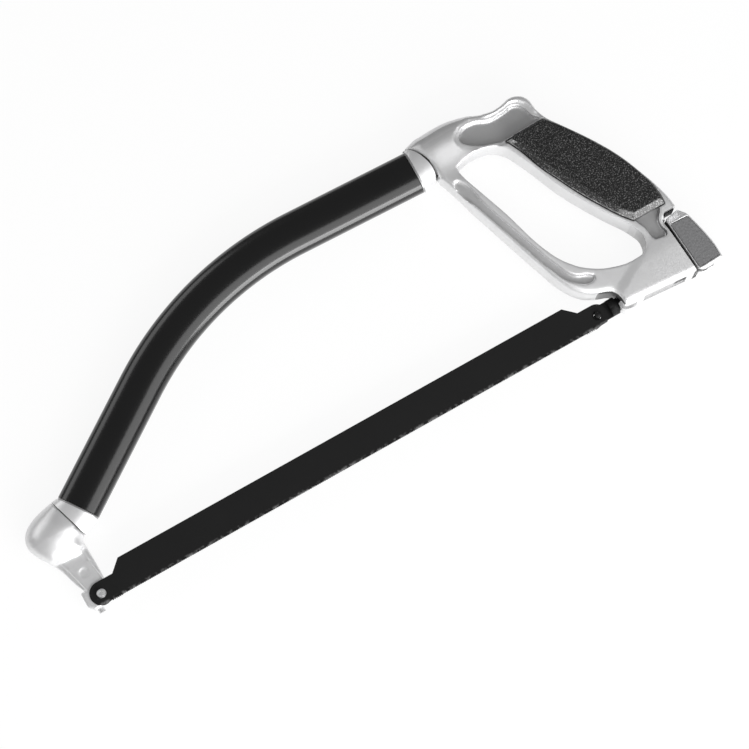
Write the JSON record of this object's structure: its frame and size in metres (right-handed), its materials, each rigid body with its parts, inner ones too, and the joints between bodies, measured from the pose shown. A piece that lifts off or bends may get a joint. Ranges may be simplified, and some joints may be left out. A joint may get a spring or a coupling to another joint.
{
  "type": "hacksaw",
  "caption": "Hacksaw with a bent flat-oval tube bow, cast nose and D handle with a rubber grip, and a cam lever that draws a bar to stretch the blade.",
  "frame": {"origin": "under the middle of the saw, on the surface that the saw lies on", "axes": "+X along the blade towards the handle, +Y from the teeth towards the bow, +Z out of the saw's near side"},
  "size_m": [0.3966, 0.142, 0.0228],
  "materials": {
    "black_gloss_tube": "clear-lacquered black tube",
    "satin_aluminium": "satin blasted casting",
    "bright_steel": "turned steel",
    "black_steel": "black painted steel",
    "grip_rubber": "fine-grained black rubber",
    "grey_texture": "coarse-grained grey inlay"
  },
  "bodies": {
    "frame": {"bow_tube": "black_gloss_tube", "front_ferrule": "satin_aluminium", "rear_ferrule": "satin_aluminium", "nose_casting": "satin_aluminium", "nose_pin": "bright_steel", "front_blade_stud": "bright_steel", "front_flush_stud": "bright_steel", "blade": "black_steel", "handle_casting": "satin_aluminium", "handle_pin": "bright_steel", "grip_pad_near": "grip_rubber", "grip_pad_far": "grip_rubber", "cam_plate": "black_steel"},
    "bar": {"draw_bar": "black_steel", "rear_blade_stud": "black_steel"},
    "lever": {"tension_lever": "satin_aluminium", "lever_pin": "bright_steel", "lever_panel_near": "grey_texture", "lever_panel_far": "grey_texture"}
  },
  "joints": [
    {"name": "bar_slide", "type": "slide", "parent": "frame", "child": "bar", "axis": [-1, 0, 0], "range_m": [0, 0.00116]},
    {"name": "lever_hinge", "type": "hinge", "parent": "bar", "child": "lever", "pos_m": [0.18898, -0.06545, 0.0114], "axis": [0, 0, -1], "range_deg": [0, 90]}
  ],
  "couplings": [
    {"joint": "bar_slide", "follows": "lever_hinge", "m_per_rad": 0.00073211}
  ]
}
